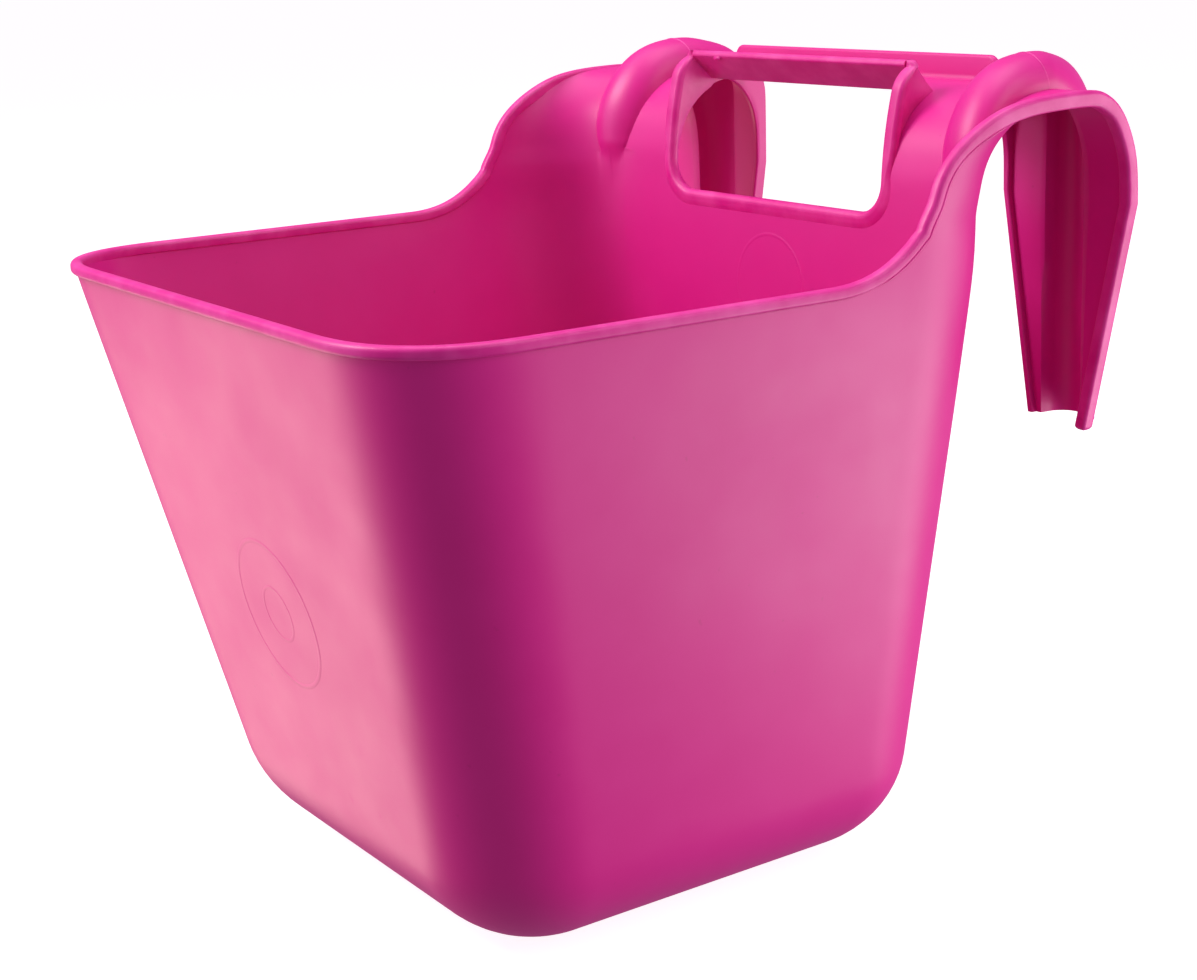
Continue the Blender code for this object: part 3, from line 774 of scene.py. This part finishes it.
def build_grip():
    """Lip round the hand opening: a soft bead low down, upright side plates higher up."""
    top_z, deepest, thinnest = 320.6, 121.9, 3.4    # of the lip's front
    low_wide, high_wide, end_wide = 5.6, 7.4, 2.6
    widens_z, rounds_z, stiffens_z = 268.0, 312.4, 266.0
    loops = []
    for x, z, nx, nz in grip_path():
        front = min(lip_front(min(z, top_z)), deepest)
        rear = max(grip_rear(z), front + thinnest)
        wide = lerp(low_wide, high_wide, abs(nx) * ease((z - widens_z) / 20.0))
        # the plates' upper outer corners are rounded off
        end = min(1.0, max(0.0, (z - rounds_z) / 10.0))
        pinch = (wide - end_wide) * (1.0 - math.sqrt(1.0 - end * end))
        # 1 at the lower edge, where the lip runs out softly into the wall
        soft = 1.0 - ease((z - stiffens_z) / 24.0)
        crown = (lerp(wide - 1.6, 3.0, soft) - pinch, front)
        shoulder = (lerp(wide - 0.3, 4.8, soft) - pinch, front + lerp(1.1, 0.30, soft))
        foot_y = lerp(front + 3.0, max(109.45, front + 0.9), soft)
        foot = (lerp(wide - 0.1, 8.6, soft) - pinch, foot_y)
        outline = [(0.0, front + 3.0), (0.35, front + 1.2), (1.6, front),
                   crown, shoulder, foot, (3.9 - pinch, rear), (0.9, rear)]
        ring = rounded(outline, (1.6, 1.9, 1.9, 1.8, 1.8, 0.8, 0.3, 0.3), 4)
        loops.append([np.array((x + nx * r, y, z + nz * r)) for r, y in ring])
    return tube("grip_collar", loops, angle=60.0)


def build_grip_bar():
    """Top of the hand opening: a rounded front lip, and a web sloping back to the rail bar."""
    outline = [(122.7, 319.2), (121.6, 320.4), (122.4, 322.5), (124.9, 322.4), (127.6, 318.6),
               (130.6, 313.2), (134.7, 310.6), (134.7, 309.2), (133.2, 309.2)]
    ring = rounded(outline, (0.8, 1.0, 1.3, 1.4, 2.5, 2.5, 0.0, 0.0, 1.0), 5)
    half = 69.9
    loops = [[(x, y, z) for y, z in ring] for x in steps(-half, half, 28)]
    return tube("grip_top_bar", loops)


BAR_BACK = 161.3


def build_bridge():
    """Flat bar behind the opening; its section follows the saddles on each side."""
    first, step, half = 7.55, 0.15, 81.5
    top = [np.array(MIDDLE.at(first + k * step)) for k in range(0, 26)]
    top = [p for p in top if p[0] <= BAR_BACK - 0.1] + [np.array((BAR_BACK, BAR_Z))]
    low = []
    for i, p in enumerate(top):
        a, b = top[max(i - 1, 0)], top[min(i + 1, len(top) - 1)]
        d = (b - a) / np.linalg.norm(b - a)
        q = p + np.array((d[1], -d[0])) * WALL
        low.append(np.array((q[0], max(q[1], BAR_Z - WALL))))
    # a hair below the saddles, so that the two surfaces never coincide
    ring = [tuple(p + np.array((0, -0.015))) for p in top] + [tuple(p) for p in low[::-1]]
    loops = [[(x, y, z) for y, z in ring] for x in steps(-half, half, 30)]
    return tube("rail_bar", loops)


def build_upstand():
    """Upright edge along the back of the bar, with a soft foot and rounded ends."""
    half, corner, foot = 84.0, 4.0, 2.6
    top_z, sunk_z = 322.6, 310.5
    front, rear = 158.0, BAR_BACK
    xs = [half - corner * (1 - math.sin(math.radians(d))) for d in steps(90.0, 0.0, 8)]
    xs = xs + steps(xs[-1], -xs[-1], 40)[1:-1] + [-x for x in xs[::-1]]
    loops = []
    for x in xs:
        e = max(0.0, (abs(x) - (half - corner)) / corner)
        top = top_z - corner * (1.0 - math.sqrt(max(0.0, 1.0 - e * e)))
        ring = [(rear, sunk_z), (rear, top), (front + 0.3, top), (front, BAR_Z + foot)]
        ring = rounded(ring, (0.0, 1.3, 1.3, 0.0), 4)
        for d in steps(0.0, 90.0, 5)[1:]:
            a = math.radians(d)
            ring.append((front - foot * (1 - math.cos(a)), BAR_Z + foot * (1 - math.sin(a)) - 0.05))
        ring.append((front - foot, sunk_z))
        loops.append([(x, y, z) for y, z in ring])
    return tube("rear_upstand_edge", loops)


# ------------------------------------------------------------ small features
def ridge_ring(name, at, radius, width, height, n=96):
    """Thin raised circle lying on a wall; at(u, v) gives a surface point and its normal."""
    loops = []
    for i in range(n):
        a = 2 * math.pi * i / n
        u, v = radius * math.cos(a), radius * math.sin(a)
        p, nrm = at(u, v)
        q, _ = at(u * 1.02, v * 1.02)
        out = (q - p) / np.linalg.norm(q - p)
        loops.append(small_ring(p, out * width, nrm * height, 8))
    return tube(name, loops, closed=True, angle=80.0)


FRONT_MARK_Z = 127.0
BACK_MARK_Z = 225.0


def front_wall_at(u, v):
    """Point and normal on the front wall, u across and v up from the mark's centre."""
    z = FRONT_MARK_Z + v
    y = lerp(FRONT_Y[0], FRONT_Y[1], z / RIM_Z)
    n = np.array((0.0, -RIM_Z, FRONT_Y[1] - FRONT_Y[0]))
    n = n / np.linalg.norm(n)
    return np.array((u, y, z)), n


def back_wall_at(u, v):
    """Point and normal on the inside of the back wall, from the mark's centre."""
    z = BACK_MARK_Z + v
    y = lerp(BACK_Y[0], BACK_Y[1], z / RIM_Z) - WALL
    return np.array((u, y, z)), np.array((0.0, -1.0, 0.016))


def build_gate():
    """Small torn nub where the mould was fed, inside the top of the opening."""
    bm = bmesh.new()
    bmesh.ops.create_icosphere(bm, subdivisions=3, radius=1.0)
    tilt = np.random.default_rng(7).normal(0.0, 0.12, size=3)
    centre, half_size = (-52.0, 122.2, 319.5), np.array((2.6, 0.9, 1.1))
    for v in bm.verts:
        p = np.array(v.co)
        k = 1.0 + 0.12 * math.sin(5.0 * p[0] + 1.0) * math.cos(4.0 * p[2]) + float(tilt @ p)
        q = p * half_size * k
        v.co = Vector((q[0] + centre[0], q[1] + centre[1], q[2] + centre[2])) * MM
    return to_object("gate_nub", bm, 180.0)


def build_parting(sign):
    """Fine parting line that crosses the rib where the two mould halves met."""
    loops = []
    t, reach = 9.2, 1.12        # station along the sheet, and how far past the rib's feet
    height, unit = rib_at(t)
    for s in steps(reach, -reach, 44):
        if abs(s) <= 1.0:
            dx, rise = rib_profile(s, height)
        else:
            dx, rise = rib_profile(math.copysign(1.0, s), height)
            dx = dx * abs(s)
            rise = 0.0
        p = sheet_point(RIB_X + dx, t) + unit * rise
        fade = 1.0 - max(0.0, (abs(s) - 0.8) / 0.32)
        r = 0.03 + 0.22 * fade
        ring = small_ring(p, np.array((0, 1.5 * r, 0)), unit * r, 6)
        loops.append([q * np.array((sign, 1, 1)) for q in ring])
    side = "right" if sign > 0 else "left"
    return tube("parting_line_" + side, loops, angle=80.0)


# ----------------------------------------------------------------- material
BODY = (0.65, 0.008, 0.235, 1.0)
DEEP = (0.59, 0.005, 0.205, 1.0)
PALE = (0.71, 0.028, 0.295, 1.0)
SPECK = (0.42, 0.006, 0.13, 1.0)
# paler pink: partly rubbed wear, partly a painted highlight on the lip, the grip edges and the mould
# lines
RUBBED_AND_HIGHLIGHT = (0.80, 0.085, 0.37, 1.0)


def plastic(name, wear_and_highlight=0.0):
    """Pink satin moulded plastic; a wear value above zero pales it in blotches, partly as wear where
    hands and feed rub it and partly as a painted highlight on the edges and mould lines.
    """
    mat = bpy.data.materials.new(name)
    mat.use_nodes = True
    nt = mat.node_tree
    nodes, links = nt.nodes, nt.links
    bsdf = nodes["Principled BSDF"]
    tex = nodes.new("ShaderNodeTexCoord")

    def noise(scale, detail, rough=0.55, stretch=None):
        n = nodes.new("ShaderNodeTexNoise")
        n.inputs["Scale"].default_value = scale
        n.inputs["Detail"].default_value = detail
        n.inputs["Roughness"].default_value = rough
        if stretch is None:
            links.new(tex.outputs["Object"], n.inputs["Vector"])
        else:
            m = nodes.new("ShaderNodeMapping")
            m.inputs["Scale"].default_value = stretch
            links.new(tex.outputs["Object"], m.inputs["Vector"])
            links.new(m.outputs["Vector"], n.inputs["Vector"])
        return n.outputs["Fac"]

    def ramp(src, lo, hi, a=0.0, b=1.0):
        r = nodes.new("ShaderNodeMapRange")
        r.inputs["From Min"].default_value = lo
        r.inputs["From Max"].default_value = hi
        r.inputs["To Min"].default_value = a
        r.inputs["To Max"].default_value = b
        links.new(src, r.inputs["Value"])
        return r.outputs["Result"]

    def mix(fac, a, b):
        m = nodes.new("ShaderNodeMix")
        m.data_type = "RGBA"
        for sock, value in ((m.inputs["Factor"], fac), (m.inputs[6], a), (m.inputs[7], b)):
            if isinstance(value, (tuple, float)):
                sock.default_value = value
            else:
                links.new(value, sock)
        return m.outputs[2]

    def math_node(op, a, b):
        m = nodes.new("ShaderNodeMath")
        m.operation = op
        for sock, value in ((m.inputs[0], a), (m.inputs[1], b)):
            if isinstance(value, float):
                sock.default_value = value
            else:
                links.new(value, sock)
        return m.outputs[0]

    # slow colour flow of the moulding, and a fine mottle over it
    flow = ramp(noise(6.0, 3.0), 0.35, 0.68)
    mottle = ramp(noise(42.0, 5.0), 0.36, 0.66)
    col = mix(math_node("MULTIPLY", flow, 0.45), BODY, DEEP)
    col = mix(math_node("MULTIPLY", mottle, 0.12), col, PALE)
    # faint upright drag marks and a few scuffs
    drag = ramp(noise(60.0, 4.0, 0.6, (9.0, 9.0, 0.5)), 0.66, 0.80)
    patch = ramp(noise(5.0, 2.0), 0.50, 0.66)
    marks = math_node("MULTIPLY", drag, patch)
    col = mix(math_node("MULTIPLY", marks, 0.22), col, PALE)
    spots = ramp(noise(210.0, 2.0), 0.74, 0.80)
    col = mix(math_node("MULTIPLY", spots, 0.30), col, SPECK)
    # pale blotches: partly rubbing wear, partly a painted highlight that makes the lip, grip edges and
    # mould lines brighter
    if wear_and_highlight > 0.0:
        rub_and_highlight = ramp(noise(70.0, 3.0), 0.40, 0.72)
        col = mix(math_node("MULTIPLY", rub_and_highlight, wear_and_highlight), col, RUBBED_AND_HIGHLIGHT)
    links.new(col, bsdf.inputs["Base Color"])

    rough = ramp(noise(30.0, 5.0), 0.3, 0.7, 0.40, 0.47)
    rough = math_node("ADD", rough, math_node("MULTIPLY", marks, 0.10))
    links.new(rough, bsdf.inputs["Roughness"])
    bsdf.inputs["IOR"].default_value = 1.5
    bsdf.inputs["Specular IOR Level"].default_value = 0.5

    def bump(height, strength, distance, below=None, invert=False):
        node = nodes.new("ShaderNodeBump")
        node.invert = invert
        node.inputs["Strength"].default_value = strength
        node.inputs["Distance"].default_value = distance
        links.new(height, node.inputs["Height"])
        if below is not None:
            links.new(below, node.inputs["Normal"])
        return node.outputs["Normal"]

    # fine grain, slow waves of the mould, and the scratches pressed in
    normal = bump(noise(1500.0, 2.0), 0.10, 0.00012)
    normal = bump(noise(22.0, 2.0), 0.22, 0.0009, normal)
    normal = bump(marks, 0.25, 0.0001, normal, invert=True)
    links.new(normal, bsdf.inputs["Normal"])
    return mat


# -------------------------------------------------------------------- stage
# Two low "glow" lamps stand in for the light that a bright table throws up.
# Each lamp: name, place, target, size, watts, colour.
AMBIENT = 0.34
AMBIENT_TINT = (0.95, 0.62, 1.0, 1.0)
PLAIN = (1.0, 1.0, 1.0)
LAMPS = [("glow_left", (-0.88, -0.57, -0.38), (0, -0.14, 0.13), (0.7, 0.7), 5.3, (1.0, 0.76, 0.60)),
         ("glow_right", (0.50, 0.52, -0.10), (0.14, 0.08, 0.14), (0.35, 0.35), 2.2, PLAIN),
         ("key_left", (-0.9, -1.3, 1.6), (0, -0.1, 0.12), (0.9, 0.9), 34.0, PLAIN),
         ("key_low", (-1.00, -1.65, 0.55), (0, -0.1, 0.12), (0.9, 0.9), 11.0, (1.0, 0.60, 0.95)),
         ("right_back", (0.62, 0.80, 0.25), (0.13, 0.08, 0.15), (0.4, 0.4), 3.0, PLAIN),
         ("right_high", (1.7, 0.7, 1.6), (0.1, 0.05, 0.15), (1.2, 1.2), 14.0, PLAIN),
         ("top", (0.1, 0.3, 2.3), (0, 0, 0.1), (1.4, 1.4), 24.0, (1.0, 0.85, 1.0)),
         ("top_left", (-1.0, 0.0, 2.0), (0, 0, 0.2), (1.0, 1.0), 5.0, PLAIN)]


def area(name, loc, target, size, power, colour):
    """Rectangular lamp aimed at the target, unseen by the camera."""
    light = bpy.data.lights.new(name, "AREA")
    light.shape = "RECTANGLE"
    light.size, light.size_y = size
    light.energy = power
    light.color = colour
    ob = bpy.data.objects.new(name, light)
    bpy.context.scene.collection.objects.link(ob)
    ob.location = loc
    d = Vector(target) - Vector(loc)
    ob.rotation_euler = d.to_track_quat("-Z", "Y").to_euler()
    ob.visible_camera = False


def floor_plane():
    """Glowing white floor, which casts no shadow and neither lights nor mirrors in the plastic."""
    half_size, drop = 20.0, 0.0002
    bm = bmesh.new()
    bmesh.ops.create_grid(bm, x_segments=2, y_segments=2, size=half_size)
    for v in bm.verts:
        v.co.z = -drop
    mesh = bpy.data.meshes.new("floor")
    bm.to_mesh(mesh)
    bm.free()
    floor = bpy.data.objects.new("floor", mesh)
    bpy.context.scene.collection.objects.link(floor)
    mat = bpy.data.materials.new("floor_white")
    mat.use_nodes = True
    shader = mat.node_tree.nodes["Principled BSDF"]
    shader.inputs["Base Color"].default_value = (0.45, 0.45, 0.45, 1)
    shader.inputs["Roughness"].default_value = 0.9
    shader.inputs["Specular IOR Level"].default_value = 0.1
    shader.inputs["Emission Color"].default_value = (1.0, 1.0, 1.0, 1)
    shader.inputs["Emission Strength"].default_value = 0.88
    mesh.materials.append(mat)
    floor.visible_diffuse = False
    floor.visible_glossy = False
    floor.visible_shadow = False


def room():
    """Soft tinted light all round, which the camera sees as plain white."""
    world = bpy.data.worlds.new("studio")
    bpy.context.scene.world = world
    world.use_nodes = True
    nodes, links = world.node_tree.nodes, world.node_tree.links
    ambient = nodes["Background"]
    ambient.inputs["Color"].default_value = AMBIENT_TINT
    ambient.inputs["Strength"].default_value = AMBIENT
    sweep = nodes.new("ShaderNodeBackground")
    sweep.inputs["Color"].default_value = (1.0, 1.0, 1.0, 1)
    seen = nodes.new("ShaderNodeLightPath")
    choose = nodes.new("ShaderNodeMixShader")
    links.new(seen.outputs["Is Camera Ray"], choose.inputs[0])
    links.new(ambient.outputs[0], choose.inputs[1])
    links.new(sweep.outputs[0], choose.inputs[2])
    links.new(choose.outputs[0], nodes["World Output"].inputs["Surface"])


CAMERA_ANGLES = (55.69, 15.07, -1.84)   # azimuth, elevation and roll, in degrees
CAMERA_PLACE = (0.6973, -0.4609, 0.3766)
CAMERA_LENS = 62.57


def camera():
    """The photo's viewpoint, and plain display colours."""
    cam = bpy.data.cameras.new("camera")
    cam.sensor_fit = "HORIZONTAL"
    cam.sensor_width = 36.0
    cam.lens = CAMERA_LENS
    cam.clip_start = 0.01
    ob = bpy.data.objects.new("camera", cam)
    bpy.context.scene.collection.objects.link(ob)
    az, el, roll = (math.radians(a) for a in CAMERA_ANGLES)
    back = Vector((math.sin(az) * math.cos(el), -math.cos(az) * math.cos(el), math.sin(el)))
    right = Vector((math.cos(az), math.sin(az), 0.0))
    up = back.cross(right)
    r = right * math.cos(roll) + up * math.sin(roll)
    u = up * math.cos(roll) - right * math.sin(roll)
    m = Matrix((r, u, back)).transposed().to_4x4()
    m.translation = Vector(CAMERA_PLACE)
    ob.matrix_world = m
    bpy.context.scene.camera = ob
    bpy.context.scene.view_settings.view_transform = "Standard"


def main():
    tub, legs = build_bucket()
    carve(tub, grip_cutter())
    lip, collar = build_lip(), build_grip()
    bridge, upstand, top_bar = build_bridge(), build_upstand(), build_grip_bar()
    lines = [build_flash(1), build_flash(-1), build_parting(1), build_parting(-1)]
    marks = [build_gate(),
             ridge_ring("front_ring_mark", front_wall_at, 30.0, 1.0, 0.13),
             ridge_ring("front_ring_mark_inner", front_wall_at, 11.0, 0.8, 0.10),
             ridge_ring("inner_ring_mark", back_wall_at, 22.0, 0.8, 0.07)]
    finishes = [(plastic("moulded_plastic"), [tub, legs, bridge, upstand] + marks),
                # the lip, the grip's edges and the mould lines get the paler copy of the plastic:
                # partly wear, partly a painted highlight
                (plastic("moulded_plastic_edge_painted_highlight", wear_and_highlight=0.55), [lip, collar, top_bar]),
                (plastic("moulded_plastic_line_painted_highlight", wear_and_highlight=0.9), lines)]
    for material, group in finishes:
        for piece in group:
            piece.data.materials.clear()
            piece.data.materials.append(material)
    for piece in [tub, legs, lip, collar, bridge, upstand, top_bar] + lines + marks:
        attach(piece, "root")
    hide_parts("tub_base", "front_wall", "left_wall", "right_wall", "back_wall",
                "left_saddle", "right_saddle")
    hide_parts("left_hook", "right_hook")
    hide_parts("rim_lip", "left_edge_lip", "right_edge_lip")
    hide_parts("grip_frame")
    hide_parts("grip_frame")
    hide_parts("grip_bridge")
    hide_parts("rear_upstand")

    floor_plane()
    room()
    for lamp in LAMPS:
        area(*lamp)
    camera()


main()
